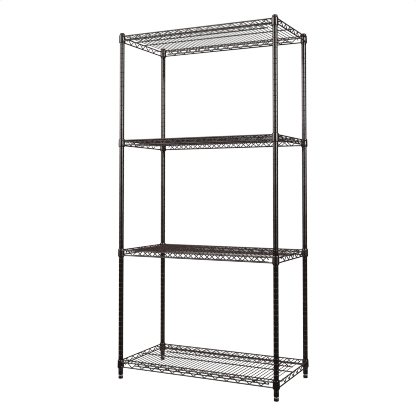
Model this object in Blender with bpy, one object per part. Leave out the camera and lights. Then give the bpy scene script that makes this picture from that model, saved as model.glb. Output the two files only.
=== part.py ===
"""Four-tier wire shelving rack: four grooved posts with caps and levelling feet, and four welded wire shelves
that rest on split tapered sleeves. Metres, +Z up, origin on the floor under the middle of the rack."""

import math

import bmesh
import bpy
from mathutils import Matrix

# Driving dimensions
POST_SPAN_X = 0.872          # between post axes along the long side
POST_SPAN_Y = 0.440          # between post axes along the short side
GROOVE_PITCH = 0.0254        # the sleeves snap into grooves this far apart
POST_LENGTH = 71 * GROOVE_PITCH
POST_BOTTOM = 0.0214         # the feet hold the posts this high
POST_RADIUS = 0.0127
POST_WALL = 0.0012
FIRST_SHELF = 0.0577         # underside of the lowest shelf's collars
SHELF_STEPS = (0, 23, 46, 68)  # grooves from the lowest shelf to each shelf
GAP = 0.0003                 # clearance between touching pieces
ROUND_STEPS = 12             # sides of the turned pieces, in line with one another so that they nest

# Collar and split sleeve, heights from the underside of the collar
COLLAR_HEIGHT = 0.0395
COLLAR_CHAMFER = 0.0045
COLLAR_RADIUS_BOTTOM = 0.0176
COLLAR_RADIUS_TOP = 0.0166
SLEEVE_RADIUS_BOTTOM = 0.0157
SLEEVE_RADIUS_TOP = 0.0146
SLEEVE_BORE = POST_RADIUS + GAP
SLEEVE_BELOW = 0.0035        # the sleeve shows this much under the collar
COLLAR_CLEARANCE = 0.0004
SLEEVE_SPLIT = 0.0004        # gap between the two halves of a sleeve

# Shelf wires, heights from the underside of the collar
RIM_OUTSET = 0.0122          # rim wires lie this far outside the post axes
RIM_RADIUS = 0.0032
RIM_TOP = 0.0312
RIM_BOTTOM = 0.0062
SNAKE_RADIUS = 0.0023
SNAKE_PITCH = 0.0603
LONG_SNAKE_BENDS = 27
SHORT_SNAKE_BENDS = 11
INNER_SNAKE_BENDS = 25
DECK_WIRES = 42
DECK_PITCH = SNAKE_PITCH / 3
DECK_WIRE_RADIUS = 0.0018
RAIL_RADIUS = 0.0029
RAIL_HEIGHT = 0.0264
INNER_TRUSS_Y = 0.176
INNER_TRUSS_LOW = 0.0027
LOWER_RAIL_REACH = 0.382
WELD = 0.0004                # how far welded wires sink into each other
SQUARE = math.sqrt(math.pi) / 2  # half side of a square bar with the section of a round wire of radius 1

# Cap
CAP_HEIGHT = 0.0115
CAP_PLUG_LENGTH = 0.016
CAP_WALL = 0.0018

# Foot
THREAD_RADIUS = 0.0049
THREAD_TOP = 0.058
INSERT_HEIGHT = 0.026
PAD_HEIGHT = 0.0144
PAD_RADIUS = 0.0120
SOCKET_FLOOR = 0.0060
HEX_ACROSS_CORNERS = 0.0224
HEX_TOP = 0.0206

CORNERS = {
    "front_left": (-1, -1),
    "front_right": (1, -1),
    "back_left": (-1, 1),
    "back_right": (1, 1),
}


def clear_scene():
    for obj in list(bpy.data.objects):
        bpy.data.objects.remove(obj, do_unlink=True)


def collection(name, hidden=False):
    made = bpy.data.collections.new(name)
    made.hide_render = hidden
    bpy.context.scene.collection.children.link(made)
    return made


def material(name, colour, roughness, metallic):
    made = bpy.data.materials.new(name)
    made.use_nodes = True
    shader = made.node_tree.nodes["Principled BSDF"]
    shader.inputs["Base Color"].default_value = (*colour, 1)
    shader.inputs["Roughness"].default_value = roughness
    shader.inputs["Metallic"].default_value = metallic
    return made


def new_object(name, data, where, paint=None, location=(0, 0, 0)):
    obj = bpy.data.objects.new(name, data)
    obj.location = location
    if paint:
        data.materials.append(paint)
    where.objects.link(obj)
    return obj


def turned(profile, name):
    """Mesh of a profile of (radius, height) points turned a full circle about Z. The profile is closed by its
    own last point, or by the axis where both of its ends lie on it."""
    bm = bmesh.new()
    points = [bm.verts.new((radius, 0, height)) for radius, height in profile]
    on_axis = profile[0][0] == 0 and profile[-1][0] == 0
    pairs = list(zip(points, points[1:]))
    if not on_axis:
        pairs.append((points[-1], points[0]))
    edges = [bm.edges.new(pair) for pair in pairs]
    bmesh.ops.spin(
        bm,
        geom=points + edges,
        axis=(0, 0, 1),
        cent=(0, 0, 0),
        angle=2 * math.pi,
        steps=ROUND_STEPS,
        use_merge=True,
    )
    bmesh.ops.remove_doubles(bm, verts=bm.verts, dist=1e-6)
    bmesh.ops.recalc_face_normals(bm, faces=bm.faces)
    return finished_mesh(bm, name)


def finished_mesh(bm, name):
    mesh = bpy.data.meshes.new(name)
    bm.to_mesh(mesh)
    bm.free()
    mesh.shade_smooth()
    mesh.set_sharp_from_angle(angle=math.radians(35))
    return mesh


def bar(points, radius, where, name="bar"):
    """A wire along a polyline, as a square bar of the same section area with a flat top and closed ends."""
    curve = bpy.data.curves.new(name, "CURVE")
    curve.dimensions = "3D"
    curve.bevel_depth = radius * SQUARE * math.sqrt(2)
    curve.bevel_resolution = 0
    curve.use_fill_caps = True
    spline = curve.splines.new("POLY")
    spline.points.add(len(points) - 1)
    for point, place in zip(spline.points, points):
        point.co = (*place, 1)
        point.tilt = math.pi / 4
    guide = new_object(name, curve, where)
    bpy.context.view_layer.update()
    graph = bpy.context.evaluated_depsgraph_get()
    mesh = bpy.data.meshes.new_from_object(guide.evaluated_get(graph))
    bpy.data.objects.remove(guide)
    bpy.data.curves.remove(curve)
    bm = bmesh.new()
    bm.from_mesh(mesh)
    bmesh.ops.remove_doubles(bm, verts=bm.verts, dist=1e-6)
    bmesh.ops.recalc_face_normals(bm, faces=bm.faces)
    bm.to_mesh(mesh)
    bm.free()
    return mesh


def merged(meshes, name):
    bm = bmesh.new()
    for mesh in meshes:
        bm.from_mesh(mesh)
        bpy.data.meshes.remove(mesh)
    mesh = bpy.data.meshes.new(name)
    bm.to_mesh(mesh)
    bm.free()
    return mesh


def welded(first, others, holes, name, helpers):
    """Mesh of the union of the given meshes, less the hole meshes."""
    base = new_object(name + "_base", first, helpers)
    joined = new_object(name + "_joined", merged(others, name), helpers)
    union = base.modifiers.new("weld", "BOOLEAN")
    union.operation = "UNION"
    union.object = joined
    union.use_self = True
    tools = [joined]
    if holes:
        drill = new_object(name + "_drill", merged(holes, name), helpers)
        cut = base.modifiers.new("bore", "BOOLEAN")
        cut.operation = "DIFFERENCE"
        cut.object = drill
        tools.append(drill)
    bpy.context.view_layer.update()
    graph = bpy.context.evaluated_depsgraph_get()
    mesh = bpy.data.meshes.new_from_object(base.evaluated_get(graph))
    for obj in [base] + tools:
        bpy.data.objects.remove(obj)
    bm = bmesh.new()
    bm.from_mesh(mesh)
    bmesh.ops.remove_doubles(bm, verts=bm.verts, dist=2e-6)
    bmesh.ops.dissolve_degenerate(bm, edges=bm.edges, dist=2e-6)
    bmesh.ops.triangulate(bm, faces=bm.faces)
    bm.to_mesh(mesh)
    bm.free()
    mesh.name = name
    return mesh


def post_mesh():
    inner = POST_RADIUS - POST_WALL
    top = POST_BOTTOM + POST_LENGTH
    profile = [(POST_RADIUS, top), (POST_RADIUS, POST_BOTTOM), (inner, POST_BOTTOM), (inner, top)]
    return turned(profile, "post")


def cap_mesh():
    """Domed plug: a flange as wide as the post, closed over the top and hollow below."""
    seat = POST_BOTTOM + POST_LENGTH + GAP
    top = seat + CAP_HEIGHT
    plug = POST_RADIUS - POST_WALL - GAP
    crown = [(0, top), (0.0055, top - 0.0003), (0.0095, top - 0.0016), (0.0118, top - 0.0045)]
    side = [(POST_RADIUS, top - 0.0085), (POST_RADIUS, seat), (plug, seat)]
    foot = [(plug, seat - CAP_PLUG_LENGTH + 0.002), (plug - 0.0008, seat - CAP_PLUG_LENGTH)]
    inside = [(plug - CAP_WALL, seat - CAP_PLUG_LENGTH), (plug - CAP_WALL, seat + 0.003), (0, seat + 0.005)]
    return turned(crown + side + foot + inside, "cap")


def insert_mesh():
    outer = POST_RADIUS - POST_WALL - GAP
    bore = THREAD_RADIUS + GAP
    top = POST_BOTTOM + INSERT_HEIGHT
    profile = [(outer, top), (outer, POST_BOTTOM + GAP), (bore, POST_BOTTOM + GAP), (bore, top)]
    return turned(profile, "insert")


def stud_mesh():
    """Levelling stud: a spanner hexagon, the thread above it and a round neck in the pad's socket."""
    neck = THREAD_RADIUS - 0.0009
    low = SOCKET_FLOOR + GAP
    hex_low = PAD_HEIGHT + GAP
    profile = [
        (0, THREAD_TOP), (THREAD_RADIUS - 0.001, THREAD_TOP), (THREAD_RADIUS, THREAD_TOP - 0.001),
        (THREAD_RADIUS, HEX_TOP - 0.001), (neck, HEX_TOP - 0.001), (neck, low), (0, low),
    ]
    shank = turned(profile, "shank")
    bm = bmesh.new()
    bmesh.ops.create_cone(
        bm,
        cap_ends=True,
        segments=6,
        radius1=HEX_ACROSS_CORNERS / 2,
        radius2=HEX_ACROSS_CORNERS / 2,
        depth=HEX_TOP - hex_low,
        matrix=Matrix.Translation((0, 0, (HEX_TOP + hex_low) / 2)),
    )
    hexagon = bpy.data.meshes.new("hexagon")
    bm.to_mesh(hexagon)
    bm.free()
    return shank, hexagon


def pad_mesh():
    socket = THREAD_RADIUS - 0.0009 + GAP
    profile = [
        (0, 0), (PAD_RADIUS - 0.0016, 0), (PAD_RADIUS - 0.0003, 0.0015), (PAD_RADIUS, 0.0045),
        (PAD_RADIUS, PAD_HEIGHT - 0.0035), (PAD_RADIUS - 0.0014, PAD_HEIGHT), (socket, PAD_HEIGHT),
        (socket, SOCKET_FLOOR), (0, SOCKET_FLOOR),
    ]
    return turned(list(reversed(profile)), "pad")


def sleeve_half_mesh(side):
    """Half of a tapered split sleeve, on the post's +X or -X side. Heights are from the collar's underside."""
    low = -SLEEVE_BELOW
    profile = [
        (SLEEVE_BORE, COLLAR_HEIGHT), (SLEEVE_RADIUS_TOP, COLLAR_HEIGHT),
        (SLEEVE_RADIUS_BOTTOM, low + 0.0025), (SLEEVE_RADIUS_BOTTOM - 0.0012, low), (SLEEVE_BORE, low),
    ]
    turn = math.pi - SLEEVE_SPLIT / SLEEVE_BORE
    start = -turn / 2 if side > 0 else math.pi - turn / 2
    bm = bmesh.new()
    points = [bm.verts.new((radius * math.cos(start), radius * math.sin(start), z)) for radius, z in profile]
    face = bm.faces.new(points)
    bmesh.ops.spin(
        bm,
        geom=points + list(face.edges) + [face],
        axis=(0, 0, 1),
        cent=(0, 0, 0),
        angle=turn,
        steps=ROUND_STEPS // 2,
    )
    bmesh.ops.recalc_face_normals(bm, faces=bm.faces)
    return finished_mesh(bm, "sleeve_half")


def collar_mesh(corner):
    """Solid tapered collar of a shelf at one corner, before its bore is cut."""
    shoulder = COLLAR_HEIGHT - COLLAR_CHAMFER
    profile = [
        (0, COLLAR_HEIGHT), (COLLAR_RADIUS_TOP - 0.0010, COLLAR_HEIGHT), (COLLAR_RADIUS_TOP, shoulder),
        (COLLAR_RADIUS_BOTTOM, 0), (0, 0),
    ]
    mesh = turned(profile, "collar")
    mesh.transform(Matrix.Translation((corner[0] * POST_SPAN_X / 2, corner[1] * POST_SPAN_Y / 2, 0)))
    return mesh


def bore_mesh(corner):
    """The tapered hole through a collar, which clears the sleeve all round."""
    slope = (SLEEVE_RADIUS_BOTTOM - SLEEVE_RADIUS_TOP) / (COLLAR_HEIGHT + SLEEVE_BELOW - 0.0025)
    extra = 0.004
    bottom = SLEEVE_RADIUS_BOTTOM + COLLAR_CLEARANCE + slope * extra
    top = SLEEVE_RADIUS_TOP + COLLAR_CLEARANCE - slope * extra
    profile = [(0, COLLAR_HEIGHT + extra), (top, COLLAR_HEIGHT + extra), (bottom, -extra), (0, -extra)]
    mesh = turned(profile, "bore")
    mesh.transform(Matrix.Translation((corner[0] * POST_SPAN_X / 2, corner[1] * POST_SPAN_Y / 2, 0)))
    return mesh


def zigzag(bends, first, second, rail_radius, helpers, place):
    """Mesh of a zigzag wire beside two straight rails, at heights that take turns. Its two end bends on each
    side are welded to the rails and the others clear them. place(distance, offset, height) sets each bend."""
    clear = (rail_radius + SNAKE_RADIUS) * SQUARE + GAP
    middle = (bends - 1) / 2
    points = []
    for step in range(bends):
        at_end = step < 2 or step >= bends - 2
        offset = clear - GAP - WELD if at_end else clear
        height = second if step % 2 else first
        points.append(place((step - middle) * SNAKE_PITCH / 2, offset, height))
    return bar(points, SNAKE_RADIUS, helpers)


def rim_meshes(helpers):
    """The eight straight rim wires and the zigzag wires between them, on all four sides."""
    edge_x = POST_SPAN_X / 2 + RIM_OUTSET
    edge_y = POST_SPAN_Y / 2 + RIM_OUTSET
    made = []
    for side in (-1, 1):
        for height in (RIM_BOTTOM, RIM_TOP):
            along = [(x, side * edge_y, height) for x in (-POST_SPAN_X / 2, POST_SPAN_X / 2)]
            across = [(side * edge_x, y, height) for y in (-POST_SPAN_Y / 2, POST_SPAN_Y / 2)]
            made.append(bar(along, RIM_RADIUS, helpers))
            made.append(bar(across, RIM_RADIUS, helpers))

        def on_long_side(distance, offset, height):
            return (distance, side * (edge_y - offset), height)

        def on_short_side(distance, offset, height):
            return (side * (edge_x - offset), distance, height)

        made.append(zigzag(LONG_SNAKE_BENDS, RIM_TOP, RIM_BOTTOM, RIM_RADIUS, helpers, on_long_side))
        made.append(zigzag(SHORT_SNAKE_BENDS, RIM_TOP, RIM_BOTTOM, RIM_RADIUS, helpers, on_short_side))
    return made


def truss_meshes(helpers):
    """The two long trusses under the deck: an upper rail, a zigzag and a shorter lower rail."""
    edge_x = POST_SPAN_X / 2 + RIM_OUTSET
    made = []
    for side in (-1, 1):
        y = side * INNER_TRUSS_Y
        for reach, height in ((edge_x, RAIL_HEIGHT), (LOWER_RAIL_REACH, INNER_TRUSS_LOW)):
            made.append(bar([(-reach, y, height), (reach, y, height)], RAIL_RADIUS, helpers))

        def inside_rails(distance, offset, height):
            return (distance, side * (INNER_TRUSS_Y - offset), height)

        levels = (INNER_TRUSS_LOW, RAIL_HEIGHT)
        made.append(zigzag(INNER_SNAKE_BENDS, *levels, RAIL_RADIUS, helpers, inside_rails))
    return made


def frame_mesh(helpers):
    collars = [collar_mesh(corner) for corner in CORNERS.values()]
    bores = [bore_mesh(corner) for corner in CORNERS.values()]
    wires = rim_meshes(helpers) + truss_meshes(helpers)
    return welded(merged(collars, "collars"), wires, bores, "shelf_frame", helpers)


def deck_mesh(helpers):
    """The deck: cross wires welded on a middle rail. They lie on the truss rails, inside the zigzag wires."""
    height = RAIL_HEIGHT + (RAIL_RADIUS + DECK_WIRE_RADIUS) * SQUARE + GAP
    inside = RIM_OUTSET - (RIM_RADIUS + 2 * SNAKE_RADIUS) * SQUARE - 2 * GAP
    reach_x = POST_SPAN_X / 2 + inside
    reach_y = POST_SPAN_Y / 2 + inside
    rail_height = RAIL_HEIGHT + GAP + WELD
    middle = bar([(-reach_x, 0, rail_height), (reach_x, 0, rail_height)], RAIL_RADIUS, helpers)
    wires = []
    for index in range(DECK_WIRES):
        x = (index - (DECK_WIRES - 1) / 2) * DECK_PITCH
        wires.append(bar([(x, -reach_y, height), (x, reach_y, height)], DECK_WIRE_RADIUS, helpers))
    return welded(middle, wires, [], "shelf_deck", helpers)


def main():
    clear_scene()
    parts = collection("wire_shelving_rack")
    helpers = collection("helpers", hidden=True)
    black = material("black_powder_coat", (0.018, 0.016, 0.016), 0.3, 0.0)
    plastic = material("black_plastic", (0.015, 0.015, 0.015), 0.45, 0.0)
    steel = material("zinc_steel", (0.55, 0.55, 0.54), 0.35, 1.0)

    post = post_mesh()
    cap = cap_mesh()
    insert = insert_mesh()
    pad = pad_mesh()
    shank, hexagon = stud_mesh()
    stud = welded(shank, [hexagon], [], "stud", helpers)
    for corner, (side_x, side_y) in CORNERS.items():
        place = (side_x * POST_SPAN_X / 2, side_y * POST_SPAN_Y / 2, 0)
        for name, mesh, paint in (
            ("post", post, black), ("cap", cap, plastic), ("post_insert", insert, plastic),
            ("foot_stud", stud, steel), ("foot_pad", pad, plastic),
        ):
            copy = mesh.copy()
            new_object(name + "_" + corner, copy, parts, paint, place)

    frame = frame_mesh(helpers)
    deck = deck_mesh(helpers)
    halves = {"a": sleeve_half_mesh(-1), "b": sleeve_half_mesh(1)}
    for tier, step in enumerate(SHELF_STEPS, 1):
        height = FIRST_SHELF + step * GROOVE_PITCH
        new_object("shelf_%d_frame" % tier, frame.copy(), parts, black, (0, 0, height))
        new_object("shelf_%d_deck" % tier, deck.copy(), parts, black, (0, 0, height))
        for corner, (side_x, side_y) in CORNERS.items():
            place = (side_x * POST_SPAN_X / 2, side_y * POST_SPAN_Y / 2, height)
            for half, mesh in halves.items():
                name = "sleeve_%d_%s_%s" % (tier, corner, half)
                new_object(name, mesh.copy(), parts, plastic, place)


main()
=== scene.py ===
"""Looks of the wire shelving rack: round wires, weld beads, grooved posts, split sleeves, caps and feet."""

import math

import bmesh
import bpy
import numpy as np
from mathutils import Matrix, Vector


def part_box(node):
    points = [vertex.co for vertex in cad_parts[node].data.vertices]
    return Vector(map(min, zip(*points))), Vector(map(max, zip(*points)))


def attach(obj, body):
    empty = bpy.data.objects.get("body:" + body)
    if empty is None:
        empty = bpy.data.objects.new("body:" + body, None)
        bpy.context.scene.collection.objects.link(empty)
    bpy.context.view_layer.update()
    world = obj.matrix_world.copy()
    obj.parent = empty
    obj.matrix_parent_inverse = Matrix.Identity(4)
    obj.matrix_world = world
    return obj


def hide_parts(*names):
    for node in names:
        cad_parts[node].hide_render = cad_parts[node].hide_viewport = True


CORNERS = ("front_left", "front_right", "back_left", "back_right")
TIERS = (1, 2, 3, 4)

GAP = 0.0003                  # between pieces that touch
POST_SIDES = 40               # steps round a post, collar, cap or pad

# Posts, caps and feet
GROOVE_PITCH = 0.0254
GROOVE_DEPTH = 0.0006
GROOVE_HALF = 0.0013
CAP_OVERHANG = 0.0007
CAP_RIBS = 3
PAD_SOCKET = 0.0043
PAD_FLOOR = 0.0060
STUD_RADIUS = 0.0049
HEXAGON_TOP = 0.0206
HEXAGON_REACH = 0.0112        # from the axis to the turned-off corners
THREAD_PITCH = 0.0015

# Wires of a shelf, heights from the underside of its collars
RIM_RADIUS = 0.0032
RIM_HEIGHTS = (0.0062, 0.0312)
RIM_OUTSET = 0.0122
RIM_END = 0.0115              # how far short of the post axes a rim wire stops
SNAKE_RADIUS = 0.0023
SNAKE_PITCH = 0.0603
SNAKE_BEND = 0.0045
LONG_BENDS, SHORT_BENDS, TRUSS_BENDS = 27, 11, 25
RAIL_RADIUS = 0.0029
RAIL_HEIGHT = 0.0264
TRUSS_Y = 0.176
TRUSS_LOW = 0.0027
LOWER_RAIL_REACH = 0.382
DECK_WIRES = 42
DECK_PITCH = SNAKE_PITCH / 3
DECK_RADIUS = 0.0018
SINK = 0.0004                 # how far two welded wires sink into each other

# Collars and sleeves
COLLAR_HEIGHT = 0.0395
COLLAR_BOTTOM = 0.0176
COLLAR_TOP = 0.0166
SLEEVE_BOTTOM = 0.0157
SLEEVE_TOP = 0.0146
SLEEVE_BORE = 0.0130
SLEEVE_BELOW = 0.0035
CLEARANCE = 0.0004

# Colours
COAT_DARK, COAT_LIGHT = (0.0085, 0.0052, 0.0047), (0.0130, 0.0083, 0.0076)
DUST = (0.12, 0.088, 0.08)
PLASTIC_DARK, PLASTIC_LIGHT = (0.0050, 0.0046, 0.0044), (0.0090, 0.0083, 0.0080)
ZINC_DARK, ZINC_LIGHT = (0.66, 0.66, 0.64), (0.84, 0.84, 0.82)

# Light
WARM = (1.0, 0.965, 0.93)
WORLD_STRENGTH = 0.06
SOFTBOX_AIM = (0.436, -0.22)  # the softboxes face the front right post
SOFTBOX_ROWS = (              # bottom, top and share of full power of each panel
    (0.45, 0.75, 0.12),
    (0.75, 1.05, 0.28),
    (1.05, 1.35, 0.48),
    (1.35, 1.65, 0.72),
    (1.65, 3.45, 1.0),
)
FILLS = (("fill_above", 6.0, 3400), ("fill_below", -2.5, 620))
FILL_SIZE = (1.2, 0.8)


# ---------------------------------------------------------------- shapes as (points, faces)

def lathe(profile, steps, turn=2 * math.pi, start=0.0):
    """A profile of (radius, height) points turned about Z. A full turn may start and end on the axis."""
    full = abs(turn - 2 * math.pi) < 1e-9
    rings = steps if full else steps + 1
    points, index = [], []
    for radius, height in profile:
        if radius == 0:
            index.append([len(points)] * rings)
            points.append((0, 0, height))
            continue
        index.append(list(range(len(points), len(points) + rings)))
        for k in range(rings):
            angle = start + turn * k / steps
            points.append((radius * math.cos(angle), radius * math.sin(angle), height))
    on_axis = profile[0][0] == 0 and profile[-1][0] == 0
    pairs = list(zip(index, index[1:]))
    if not on_axis:
        pairs.append((index[-1], index[0]))
    faces = []
    for low, high in pairs:
        for k in range(steps):
            nxt = (k + 1) % rings
            corners = (low[k], low[nxt], high[nxt], high[k])
            faces.append(tuple(dict.fromkeys(corners)))
    if not full:
        faces.append(tuple(ring[0] for ring in index))
        faces.append(tuple(ring[-1] for ring in index)[::-1])
    return np.array(points), [face for face in faces if len(face) > 2]


def tube(path, radius, sides=12):
    """A round wire along a path of points, with softly rounded cut ends."""
    path = np.array(path, float)
    along = np.gradient(path, axis=0)
    along /= np.linalg.norm(along, axis=1)[:, None]
    across = np.cross(along[0], (0, 0, 1.0))
    if np.linalg.norm(across) < 1e-6:
        across = np.array((1.0, 0, 0))
    end, end_share = radius * 0.25, 0.72
    stations = [(path[0] - along[0] * end, along[0], end_share)]
    stations += [(place, way, 1.0) for place, way in zip(path, along)]
    stations.append((path[-1] + along[-1] * end, along[-1], end_share))
    points, rings = [], []
    for place, way, share in stations:
        across = across - way * np.dot(across, way)
        across /= np.linalg.norm(across)
        up = np.cross(way, across)
        ring = []
        for s in range(sides):
            angle = 2 * math.pi * (s + 0.5) / sides
            ring.append(len(points))
            spoke = math.cos(angle) * across + math.sin(angle) * up
            points.append(place + radius * share * spoke)
        rings.append(ring)
    faces = [tuple(rings[0]), tuple(rings[-1])[::-1]]
    for low, high in zip(rings, rings[1:]):
        for s in range(sides):
            nxt = (s + 1) % sides
            faces.append((low[s], high[s], high[nxt], low[nxt]))
    return np.array(points), faces


def straight(start, end, radius, sides=12, parts=1):
    """A straight round wire, cut into parts along its length."""
    start, end = np.array(start, float), np.array(end, float)
    return tube([start + (end - start) * k / parts for k in range(parts + 1)], radius, sides)


def rounded(corners, bend, steps=4):
    """Points along a polyline whose corners are rounded to the given length either side."""
    corners = [np.array(c, float) for c in corners]
    points = [corners[0]]
    for before, corner, after in zip(corners, corners[1:], corners[2:]):
        into = corner + (before - corner) / np.linalg.norm(before - corner) * bend
        out = corner + (after - corner) / np.linalg.norm(after - corner) * bend
        for k in range(steps + 1):
            t = k / steps
            points.append((1 - t) ** 2 * into + 2 * t * (1 - t) * corner + t * t * out)
    return points + [corners[-1]]


def bead(place, sizes):
    """A small weld bead: an ellipsoid."""
    rows, steps = 5, 8
    angles = [math.pi * k / rows for k in range(1, rows)]
    profile = [(0, -1.0), *[(math.sin(angle), -math.cos(angle)) for angle in angles], (0, 1.0)]
    points, faces = lathe(profile, steps)
    return points * np.array(sizes) + np.array(place), faces


def moved(shape, place):
    """The same shape somewhere else."""
    return shape[0] + np.array(place), shape[1]


def mesh_of(name, shapes, sharp=40):
    """One mesh of several closed shapes, faces out and shaded smooth."""
    points, faces, count = [], [], 0
    for shape_points, shape_faces in shapes:
        points.append(shape_points)
        faces += [tuple(i + count for i in face) for face in shape_faces]
        count += len(shape_points)
    mesh = bpy.data.meshes.new(name)
    mesh.from_pydata(np.concatenate(points).tolist(), [], faces)
    bm = bmesh.new()
    bm.from_mesh(mesh)
    bmesh.ops.recalc_face_normals(bm, faces=bm.faces)
    bm.to_mesh(mesh)
    bm.free()
    mesh.shade_smooth()
    mesh.set_sharp_from_angle(angle=math.radians(sharp))
    return mesh


def piece(name, mesh, material, body, nodes, place=(0, 0, 0)):
    """A visible piece that rides on a body in place of CAD nodes."""
    obj = bpy.data.objects.new(name, mesh)
    obj.location = place
    if not mesh.materials:
        mesh.materials.append(material)
    bpy.context.scene.collection.objects.link(obj)
    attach(obj, body)
    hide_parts(*nodes)
    return obj


# ---------------------------------------------------------------- materials

class Nodes:
    """Short hand for building a material's node tree."""

    def __init__(self, name):
        self.material = bpy.data.materials.new(name)
        self.material.use_nodes = True
        self.tree = self.material.node_tree
        self.shader = self.tree.nodes["Principled BSDF"]
        self.place = self.add("ShaderNodeTexCoord").outputs["Object"]

    def add(self, kind, **values):
        node = self.tree.nodes.new(kind)
        for key, value in values.items():
            setattr(node, key, value)
        return node

    def link(self, out, into):
        self.tree.links.new(out, into)

    def noise(self, scale, detail=3.0, rough=0.5):
        node = self.add("ShaderNodeTexNoise")
        node.inputs["Scale"].default_value = scale
        node.inputs["Detail"].default_value = detail
        node.inputs["Roughness"].default_value = rough
        self.link(self.place, node.inputs["Vector"])
        return node.outputs["Fac"]

    def span(self, value, low, high, to_low, to_high):
        node = self.add("ShaderNodeMapRange")
        self.link(value, node.inputs["Value"])
        for key, number in zip(("From Min", "From Max", "To Min", "To Max"), (low, high, to_low, to_high)):
            node.inputs[key].default_value = number
        return node.outputs["Result"]

    def mix(self, factor, first, second):
        node = self.add("ShaderNodeMix", data_type="RGBA")
        self.link(factor, node.inputs["Factor"])
        for socket, value in ((node.inputs[6], first), (node.inputs[7], second)):
            if isinstance(value, tuple):
                socket.default_value = (*value, 1)
            else:
                self.link(value, socket)
        return node.outputs[2]

    def bump(self, height, distance, strength=1.0, after=None):
        node = self.add("ShaderNodeBump")
        node.inputs["Strength"].default_value = strength
        node.inputs["Distance"].default_value = distance
        self.link(height, node.inputs["Height"])
        if after:
            self.link(after, node.inputs["Normal"])
        return node.outputs["Normal"]

    def upward(self):
        """How far a face looks up: 1 on top, 0 on the sides and below."""
        split = self.add("ShaderNodeSeparateXYZ")
        self.link(self.add("ShaderNodeNewGeometry").outputs["Normal"], split.inputs["Vector"])
        return self.span(split.outputs["Z"], 0.55, 1.0, 0.0, 1.0)


def powder_coat():
    """Glossy brown-black powder coat: orange peel, slightly uneven gloss, a little dust on top faces."""
    n = Nodes("black_powder_coat")
    tone = n.mix(n.span(n.noise(38, 4), 0.35, 0.65, 0.0, 1.0), COAT_DARK, COAT_LIGHT)
    dust = n.add("ShaderNodeMath", operation="MULTIPLY")
    n.link(n.upward(), dust.inputs[0])
    n.link(n.span(n.noise(260, 6, 0.7), 0.3, 0.7, 0.02, 0.11), dust.inputs[1])
    n.link(n.mix(dust.outputs[0], tone, DUST), n.shader.inputs["Base Color"])
    n.link(n.span(n.noise(90, 5, 0.6), 0.3, 0.7, 0.05, 0.09), n.shader.inputs["Roughness"])
    peel = n.bump(n.noise(420, 2), 0.000012, 0.8)
    n.link(n.bump(n.noise(2600, 2), 0.000002, 0.5, peel), n.shader.inputs["Normal"])
    n.shader.inputs["Coat Weight"].default_value = 0.35
    n.shader.inputs["Coat Roughness"].default_value = 0.03
    return n.material


def black_plastic():
    """Moulded black plastic with a fine grain."""
    n = Nodes("black_plastic")
    tone = n.mix(n.span(n.noise(55, 4), 0.35, 0.65, 0.0, 1.0), PLASTIC_DARK, PLASTIC_LIGHT)
    n.link(tone, n.shader.inputs["Base Color"])
    n.link(n.span(n.noise(140, 5, 0.6), 0.3, 0.7, 0.22, 0.34), n.shader.inputs["Roughness"])
    n.link(n.bump(n.noise(3200, 3), 0.000006, 0.6), n.shader.inputs["Normal"])
    return n.material


def zinc_steel():
    """Dull zinc-plated steel, turned: faint rings across its axis and a blotchy plating."""
    n = Nodes("zinc_steel")
    tone = n.mix(n.span(n.noise(210, 4), 0.35, 0.65, 0.0, 1.0), ZINC_DARK, ZINC_LIGHT)
    n.link(tone, n.shader.inputs["Base Color"])
    n.link(n.span(n.noise(500, 5, 0.6), 0.3, 0.7, 0.34, 0.50), n.shader.inputs["Roughness"])
    lines = n.add("ShaderNodeTexWave", bands_direction="Z")
    lines.inputs["Scale"].default_value = 900
    lines.inputs["Distortion"].default_value = 0.6
    n.link(n.place, lines.inputs["Vector"])
    n.link(n.bump(lines.outputs["Fac"], 0.00003, 0.35), n.shader.inputs["Normal"])
    n.shader.inputs["Metallic"].default_value = 0.6
    return n.material


# ---------------------------------------------------------------- posts, caps and feet

def post_shape(bottom, top, radius, inner):
    """A tube with a rolled groove every inch and rounded ends."""
    profile = [(inner, bottom), (radius - 0.0004, bottom), (radius, bottom + 0.0005)]
    grooves = round((top - bottom) / GROOVE_PITCH)
    flank, quarter = radius - GROOVE_DEPTH * 0.75, GROOVE_HALF * 0.5
    for step in range(1, grooves):
        z = bottom + step * GROOVE_PITCH
        profile += [(radius, z - GROOVE_HALF), (flank, z - quarter), (radius - GROOVE_DEPTH, z)]
        profile += [(flank, z + quarter), (radius, z + GROOVE_HALF)]
    profile += [(radius, top - 0.0005), (radius - 0.0004, top), (inner, top)]
    return lathe(profile, POST_SIDES)


def cap_shape(seat, top, radius, plug):
    """Domed end cap with a rounded rim and three soft ribs round its hidden plug."""
    brim = radius + CAP_OVERHANG
    crown = [(0, top), (0.0045, top - 0.0001), (0.0080, top - 0.0007), (0.0105, top - 0.0019)]
    crown += [(0.0122, top - 0.0036), (brim - 0.0003, top - 0.0058), (brim, top - 0.0080)]
    rim = [(brim, seat + 0.0006), (brim - 0.0005, seat), (plug, seat)]
    ribs = []
    for step in range(CAP_RIBS):
        z = seat - 0.0035 - step * 0.004
        ribs += [(plug - 0.0004, z + 0.0012), (plug, z), (plug - 0.0004, z - 0.0012)]
    bottom, hollow = seat - 0.0160, plug - 0.0018
    end = [(plug - 0.0008, bottom), (hollow, bottom), (hollow, seat + 0.003), (0, seat + 0.005)]
    return lathe(crown + rim + ribs + end, POST_SIDES)


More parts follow.
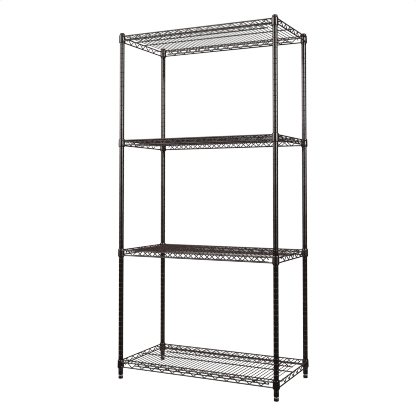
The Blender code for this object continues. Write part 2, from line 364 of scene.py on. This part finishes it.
def pad_shape(low, high, radius, socket, floor):
    """Foot pad: a barrel with a rounded toe, two shallow grip rings and a dished top."""
    side = [(0, low), (radius - 0.0022, low), (radius - 0.0009, low + 0.0005)]
    side += [(radius - 0.0002, low + 0.0017), (radius, low + 0.0036)]
    groove = radius - 0.0004
    for z in (low + 0.0056, low + 0.0084):
        side += [(radius, z - 0.0005), (groove, z - 0.0002), (groove, z + 0.0002), (radius, z + 0.0005)]
    top = [(radius, high - 0.0028), (radius - 0.0005, high - 0.0012), (radius - 0.0017, high - 0.0002)]
    top += [(radius - 0.0025, high), (socket + 0.0006, high), (socket, high - 0.0006)]
    top += [(socket, floor), (0, floor)]
    return lathe(side + top, POST_SIDES)


def thread_shape(start, end, root, radius, steps=24):
    """A helical thread of rounded teeth that runs out at both ends."""
    count = int((end - start) / THREAD_PITCH * steps)
    core = root - 0.0008
    points, faces = [], []
    for k in range(count + 1):
        angle = 2 * math.pi * k / steps
        z = start + THREAD_PITCH * k / steps
        blend = min(1.0, k / steps, (count - k) / steps)
        crest = root + (radius - root) * blend
        for r, rise in ((root, 0.0), (crest, 0.42), (crest, 0.58), (root, 0.999), (core, 0.5)):
            points.append((r * math.cos(angle), r * math.sin(angle), z + THREAD_PITCH * rise))
    for k in range(count):
        a, b = 5 * k, 5 * (k + 1)
        for i in range(5):
            j = (i + 1) % 5
            faces.append((a + i, b + i, b + j, a + j))
    faces.append((4, 3, 2, 1, 0))
    faces.append(tuple(5 * count + i for i in range(5)))
    return np.array(points), faces


def hexagon_shape(low, high, across, sides=48):
    """A spanner hexagon whose corners are turned off at both faces."""
    flat = across * math.cos(math.pi / 6)
    chamfer = 0.0009
    rows = [(flat * 0.94, low), (across, low + chamfer), (across, high - chamfer), (flat * 0.94, high)]
    points, faces = [], []
    for limit, z in rows:
        for k in range(sides):
            angle = 2 * math.pi * k / sides
            local = (angle + math.pi / 2) % (math.pi / 3) - math.pi / 6
            reach = min(flat / math.cos(local), limit)
            points.append((reach * math.cos(angle), reach * math.sin(angle), z))
    for row in range(len(rows) - 1):
        base, above = row * sides, (row + 1) * sides
        for k in range(sides):
            nxt = (k + 1) % sides
            faces.append((base + k, base + nxt, above + nxt, above + k))
    faces.append(tuple(range(sides))[::-1])
    faces.append(tuple(range((len(rows) - 1) * sides, len(rows) * sides)))
    return np.array(points), faces


def stud_shapes(low, hex_low, top):
    """Levelling stud: neck, hexagon and thread round a core."""
    neck, root = STUD_RADIUS - 0.0009, STUD_RADIUS - 0.0008
    start = HEXAGON_TOP - 0.001
    profile = [(0, low), (neck - 0.0004, low), (neck, low + 0.0005), (neck, start + 0.0004)]
    profile += [(root, start + 0.0008), (root, top - 0.0006), (root - 0.0007, top), (0, top)]
    thread = thread_shape(start, top - 0.0012, root, STUD_RADIUS)
    return [lathe(profile, 24), thread, hexagon_shape(hex_low, HEXAGON_TOP, HEXAGON_REACH)]


def axis_of(node):
    """Middle of a node's box, seen from above."""
    low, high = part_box(node)
    return ((low.x + high.x) / 2, (low.y + high.y) / 2)


def build_uprights(coat, plastic, steel):
    """Posts, caps, pads and studs, sized from the front left ones."""
    low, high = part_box("post_front_left")
    radius = (high.x - low.x) / 2
    cap_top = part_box("cap_front_left")[1].z
    pad_low, pad_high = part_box("foot_pad_front_left")
    pad_radius = (pad_high.x - pad_low.x) / 2
    stud_low, stud_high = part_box("foot_stud_front_left")
    insert_low, insert_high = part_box("post_insert_front_left")
    plug = (insert_high.x - insert_low.x) / 2
    post = mesh_of("post", [post_shape(low.z, high.z, radius, plug + GAP)], 30)
    cap = mesh_of("cap", [cap_shape(high.z + GAP, cap_top, radius, plug)])
    pad = mesh_of("foot_pad", [pad_shape(pad_low.z, pad_high.z, pad_radius, PAD_SOCKET, PAD_FLOOR)])
    stud = mesh_of("foot_stud", stud_shapes(stud_low.z, pad_high.z + GAP, stud_high.z), 30)
    for corner in CORNERS:
        x, y = axis_of("post_" + corner)
        at = (x, y, 0)
        for name, mesh, material, slot, body, node in (
            ("shown_post_", post, coat, "black_powder_coat", "uprights", "post_"),
            ("shown_cap_", cap, plastic, "black_plastic", "uprights", "cap_"),
            ("shown_pad_", pad, plastic, "black_plastic", "pad_" + corner, "foot_pad_"),
            ("shown_stud_", stud, steel, "zinc_steel", "stud_" + corner, "foot_stud_"),
        ):
            piece(name + corner, mesh, material, body, [node + corner], at)


# ---------------------------------------------------------------- sleeves

def sleeve_shape(side):
    """Half of the split sleeve: tapered, with a lip that shows under the collar and a rib for a groove."""
    low = -SLEEVE_BELOW
    outside = [(SLEEVE_BORE + 0.0003, COLLAR_HEIGHT), (SLEEVE_TOP - 0.0004, COLLAR_HEIGHT)]
    outside += [(SLEEVE_TOP, COLLAR_HEIGHT - 0.0005), (SLEEVE_BOTTOM, low + 0.0025)]
    outside += [(SLEEVE_BOTTOM - 0.0003, low + 0.0012), (SLEEVE_BOTTOM - 0.0012, low)]
    inside = [(SLEEVE_BORE + 0.0003, low), (SLEEVE_BORE, low + 0.0004)]
    rib = COLLAR_HEIGHT * 0.45
    inside += [(SLEEVE_BORE, rib - 0.0009), (SLEEVE_BORE - 0.0002, rib), (SLEEVE_BORE, rib + 0.0009)]
    inside += [(SLEEVE_BORE, COLLAR_HEIGHT - 0.0004)]
    turn = math.pi - CLEARANCE / SLEEVE_BORE
    start = -turn / 2 if side > 0 else math.pi - turn / 2
    return lathe(outside + inside, 20, turn, start)


def build_sleeves(plastic):
    """Two halves at each post and shelf."""
    halves = {
        "a": mesh_of("sleeve_a", [sleeve_shape(-1)], 30),
        "b": mesh_of("sleeve_b", [sleeve_shape(1)], 30),
    }
    for tier in TIERS:
        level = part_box("shelf_%d_frame" % tier)[0].z
        for corner in CORNERS:
            x, y = axis_of("post_" + corner)
            for half, mesh in halves.items():
                node = "sleeve_%d_%s_%s" % (tier, corner, half)
                at = (x, y, level)
                piece("shown_" + node, mesh, plastic, "uprights", [node], at)


# ---------------------------------------------------------------- shelves

def collar_shape():
    """Tapered collar with rolled edges and a chamfered shoulder."""
    slope = (SLEEVE_BOTTOM - SLEEVE_TOP) / (COLLAR_HEIGHT + SLEEVE_BELOW - 0.0025)
    bore_low = SLEEVE_BOTTOM + CLEARANCE
    bore_high = bore_low - slope * COLLAR_HEIGHT
    h = COLLAR_HEIGHT
    low, high = COLLAR_BOTTOM, COLLAR_TOP
    outside = [(low - 0.0006, 0.0), (low, 0.0007), (low - 0.0001, 0.0040)]
    outside += [(high + 0.0001, h - 0.0052), (high, h - 0.0042), (high - 0.0006, h - 0.0012)]
    outside += [(high - 0.0010, h - 0.0003), (high - 0.0013, h)]
    inside = [(bore_high + 0.0003, h), (bore_high, h - 0.0006)]
    inside += [(bore_low, 0.0006), (bore_low + 0.0004, 0.0)]
    return lathe(outside + inside, POST_SIDES)


def zigzag_path(bends, first, second):
    """Bends of a zigzag as (distance from the middle, height), at the first height at both ends."""
    half = (bends - 1) / 2
    return [((k - half) * SNAKE_PITCH / 2, second if k % 2 else first) for k in range(bends)]


def side_path(bends):
    """A side's zigzag between its rims, with the short tails that its wire ends in."""
    low, high = RIM_HEIGHTS
    path = zigzag_path(bends, high, low)
    tail = path[-1][0] + SNAKE_PITCH * 0.17
    return [(-tail, high - 0.012), *path, (tail, high - 0.012)]


def side_shapes(side, edge_x, edge_y):
    """The zigzags of one long and one short side, and their weld beads."""
    inside = RIM_RADIUS + SNAKE_RADIUS - SINK
    weld = RIM_RADIUS - SINK
    long_path, short_path = side_path(LONG_BENDS), side_path(SHORT_BENDS)
    x, y = side * (edge_x - inside), side * (edge_y - inside)
    shapes = [tube(rounded([(d, y, z) for d, z in long_path], SNAKE_BEND), SNAKE_RADIUS, 10)]
    shapes.append(tube(rounded([(x, d, z) for d, z in short_path], SNAKE_BEND), SNAKE_RADIUS, 10))
    for d, z in long_path[1:-1]:
        shapes.append(bead((d, side * (edge_y - weld), z), (0.0030, 0.0012, 0.0016)))
    for d, z in short_path[1:-1]:
        shapes.append(bead((side * (edge_x - weld), d, z), (0.0012, 0.0030, 0.0016)))
    return shapes


def rail_shapes(y, edge_x):
    """A rail from rim to rim with a weld bead at each end."""
    shapes = [straight((-edge_x, y, RAIL_HEIGHT), (edge_x, y, RAIL_HEIGHT), RAIL_RADIUS, 12, 8)]
    for end in (-1, 1):
        place = (end * (edge_x - RIM_RADIUS), y, RAIL_HEIGHT + 0.0022)
        shapes.append(bead(place, (0.0016, 0.0034, 0.0016)))
    return shapes


def truss_shapes(side, edge_x):
    """An inner truss: two rails with a zigzag welded to their inner sides."""
    y = side * TRUSS_Y
    shapes = rail_shapes(y, edge_x)
    reach, low = LOWER_RAIL_REACH - 0.0008, TRUSS_LOW + 0.0004
    shapes.append(straight((-reach, y, low), (reach, y, low), RAIL_RADIUS, 12, 8))
    path = zigzag_path(TRUSS_BENDS, TRUSS_LOW + 0.0002, RAIL_HEIGHT)
    inner = side * (TRUSS_Y - RAIL_RADIUS - SNAKE_RADIUS + SINK)
    shapes.append(tube(rounded([(d, inner, z) for d, z in path], SNAKE_BEND), SNAKE_RADIUS, 10))
    for d, z in path:
        shapes.append(bead((d, side * (TRUSS_Y - RAIL_RADIUS + SINK), z), (0.0030, 0.0012, 0.0016)))
    return shapes


def frame_shapes(span_x, span_y):
    """Everything of the frame but its rims: collars, zigzags, trusses and their weld beads."""
    edge_x, edge_y = span_x / 2 + RIM_OUTSET, span_y / 2 + RIM_OUTSET
    shapes = []
    for sx in (-1, 1):
        for sy in (-1, 1):
            shapes.append(moved(collar_shape(), (sx * span_x / 2, sy * span_y / 2, 0)))
    for side in (-1, 1):
        shapes += side_shapes(side, edge_x, edge_y) + truss_shapes(side, edge_x)
    return shapes


def rim_shapes(span_x, span_y):
    """The eight rim wires, run nearly to the post axes, with beads where they meet the collars."""
    edge_x, edge_y = span_x / 2 + RIM_OUTSET, span_y / 2 + RIM_OUTSET
    wires, beads = [], []
    for side in (-1, 1):
        for z in RIM_HEIGHTS:
            x, y = span_x / 2 - RIM_END, side * edge_y
            wires.append(straight((-x, y, z), (x, y, z), RIM_RADIUS, 16, 12))
            beads += [bead((s * (x - 0.0016), y, z), (0.0034, 0.0033, 0.0036)) for s in (-1, 1)]
            x, y = side * edge_x, span_y / 2 - RIM_END
            wires.append(straight((x, -y, z), (x, y, z), RIM_RADIUS, 16, 6))
            beads += [bead((x, s * (y - 0.0016), z), (0.0033, 0.0034, 0.0036)) for s in (-1, 1)]
    return wires + beads


def bored(mesh, span_x, span_y):
    """Cuts the collars' bores out of the rim wires' ends, so that they clear the sleeves."""
    below, above, spare = -0.01, 0.06, CLEARANCE + 0.0004
    profile = [(0, below), (SLEEVE_BOTTOM + spare, below), (SLEEVE_TOP + spare, above), (0, above)]
    drill = []
    for sx in (-1, 1):
        for sy in (-1, 1):
            drill.append(moved(lathe(profile, POST_SIDES), (sx * span_x / 2, sy * span_y / 2, 0)))
    cutter = bpy.data.objects.new("cutter", mesh_of("cutter", drill))
    base = bpy.data.objects.new("rims", mesh)
    for obj in (cutter, base):
        bpy.context.scene.collection.objects.link(obj)
    cut = base.modifiers.new("bore", "BOOLEAN")
    cut.operation = "DIFFERENCE"
    cut.object = cutter
    cut.use_self = True
    bpy.context.view_layer.update()
    made = bpy.data.meshes.new_from_object(base.evaluated_get(bpy.context.evaluated_depsgraph_get()))
    for obj in (base, cutter):
        bpy.data.objects.remove(obj)
    made.shade_smooth()
    made.set_sharp_from_angle(angle=math.radians(40))
    return made


def deck_shapes(span_x, span_y, wire_height):
    """Cross wires with a bead at each rail and rim, on the middle rail."""
    edge_x, edge_y = span_x / 2 + RIM_OUTSET, span_y / 2 + RIM_OUTSET
    shapes = rail_shapes(0, edge_x)
    reach = edge_y - 0.0008
    seat = wire_height - DECK_RADIUS * 0.9
    for index in range(DECK_WIRES):
        x = (index - (DECK_WIRES - 1) / 2) * DECK_PITCH
        shapes.append(straight((x, -reach, wire_height), (x, reach, wire_height), DECK_RADIUS, 10, 10))
        for y in (-TRUSS_Y, 0, TRUSS_Y):
            shapes.append(bead((x, y, seat), (0.0020, 0.0021, 0.0009)))
        for side in (-1, 1):
            place = (x, side * (edge_y - RIM_RADIUS + 0.0002), wire_height)
            shapes.append(bead(place, (0.0021, 0.0011, 0.0014)))
    return shapes


def build_shelves(coat):
    """Four like shelves: a frame, its rims and a deck each."""
    front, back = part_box("post_front_left"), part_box("post_back_right")
    span_x = (back[0].x + back[1].x) / 2 - (front[0].x + front[1].x) / 2
    span_y = (back[0].y + back[1].y) / 2 - (front[0].y + front[1].y) / 2
    rims = bored(mesh_of("rims", rim_shapes(span_x, span_y)), span_x, span_y)
    frame_mesh = mesh_of("shelf_frame", frame_shapes(span_x, span_y))
    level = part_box("shelf_1_frame")[0].z
    wire_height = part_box("shelf_1_deck")[1].z - level - DECK_RADIUS
    deck_mesh = mesh_of("shelf_deck", deck_shapes(span_x, span_y, wire_height))
    for tier in TIERS:
        body = "shelf_%d" % tier
        at = (0, 0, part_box(body + "_frame")[0].z)
        for name, mesh, node in (
            ("_frame", frame_mesh, "_frame"),
            ("_rims", rims, "_frame"),
            ("_deck", deck_mesh, "_deck"),
        ):
            piece("shown_" + body + name, mesh, coat, body, [body + node], at)


# ---------------------------------------------------------------- room, light and camera

def glowing(name, base, glow):
    """Plain white that gives off a little light, so that the studio has no corners."""
    made = bpy.data.materials.new(name)
    made.use_nodes = True
    shader = made.node_tree.nodes["Principled BSDF"]
    shader.inputs["Base Color"].default_value = (base, base, base, 1)
    shader.inputs["Roughness"].default_value = 0.9
    shader.inputs["Specular IOR Level"].default_value = 0.0
    shader.inputs["Emission Color"].default_value = (1, 1, 1, 1)
    shader.inputs["Emission Strength"].default_value = glow
    return made


def stage_piece(name, bm, material):
    """Part of the studio. The rack's gloss doesn't show it, and it neither lights nor shades the rack."""
    mesh = bpy.data.meshes.new(name)
    bm.to_mesh(mesh)
    bm.free()
    mesh.materials.append(material)
    obj = bpy.data.objects.new(name, mesh)
    bpy.context.scene.collection.objects.link(obj)
    obj.visible_glossy = False
    obj.visible_diffuse = False
    obj.visible_shadow = False


def build_room():
    """A pale floor and a plain white dome round it."""
    bm = bmesh.new()
    bmesh.ops.create_circle(bm, cap_ends=True, radius=30, segments=64)
    stage_piece("floor", bm, glowing("floor_white", 0.01, 1.0))
    bm = bmesh.new()
    bmesh.ops.create_uvsphere(bm, u_segments=48, v_segments=24, radius=29.9)
    stage_piece("backdrop", bm, glowing("backdrop_white", 0.0, 1.0))


def area_light(name, place, target, size, power):
    """A warm rectangular light at a place, turned to a target."""
    light = bpy.data.lights.new(name, "AREA")
    light.shape = "RECTANGLE"
    light.size, light.size_y = size
    light.energy = power
    light.color = WARM
    obj = bpy.data.objects.new(name, light)
    obj.location = place
    obj.rotation_euler = (Vector(target) - Vector(place)).to_track_quat("-Z", "Y").to_euler()
    bpy.context.scene.collection.objects.link(obj)
    return obj


def softbox(name, place, width, power):
    """A tall softbox of stacked panels. Its light, in watts a square metre, fades out towards the floor."""
    for row, (low, high, share) in enumerate(SOFTBOX_ROWS):
        height = (low + high) / 2
        size = (width, high - low)
        watts = power * share * size[0] * size[1]
        area_light("%s_%d" % (name, row), (*place, height), (*SOFTBOX_AIM, height), size, watts)


def build_light():
    """Two tall softboxes, and two fills that the gloss doesn't show, the lower one below the open floor."""
    world = bpy.data.worlds.new("studio")
    world.use_nodes = True
    bpy.context.scene.world = world
    background = world.node_tree.nodes["Background"]
    background.inputs["Color"].default_value = (1, 1, 1, 1)
    background.inputs["Strength"].default_value = WORLD_STRENGTH
    softbox("softbox_left", (-1.85, -2.17), 3.2, 15.0)
    softbox("softbox_right", (3.17, -1.36), 1.66, 36.0)
    for name, height, watts in FILLS:
        fill = area_light(name, (0, 0, height), (0, 0, 1), FILL_SIZE, watts)
        fill.visible_glossy = False
        fill.visible_camera = False
    bpy.context.scene.view_settings.view_transform = "Standard"
    bpy.context.scene.cycles.filter_width = 1.0


def build_camera():
    """Seen from low in front, a little right of the rack's middle."""
    data = bpy.data.cameras.new("camera")
    data.lens = 58.26
    data.sensor_width = 36
    data.shift_y = -0.1027
    data.clip_end = 200
    obj = bpy.data.objects.new("camera", data)
    obj.location = (1.5634, -3.2399, 0.9935)
    obj.rotation_euler = (math.radians(92.10), 0, math.radians(26.20))
    bpy.context.scene.collection.objects.link(obj)
    bpy.context.scene.camera = obj


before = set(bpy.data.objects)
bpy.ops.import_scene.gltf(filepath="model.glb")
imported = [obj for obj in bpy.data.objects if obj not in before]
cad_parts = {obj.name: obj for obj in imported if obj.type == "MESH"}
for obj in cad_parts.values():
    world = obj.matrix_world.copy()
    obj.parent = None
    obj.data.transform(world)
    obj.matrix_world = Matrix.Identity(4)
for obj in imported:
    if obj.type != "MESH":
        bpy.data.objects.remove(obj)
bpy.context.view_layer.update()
coat, plastic, steel = powder_coat(), black_plastic(), zinc_steel()
build_uprights(coat, plastic, steel)
build_sleeves(plastic)
build_shelves(coat)
for corner in CORNERS:
    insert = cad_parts["post_insert_" + corner]
    insert.data.materials.clear()
    insert.data.materials.append(plastic)
build_room()
build_light()
build_camera()
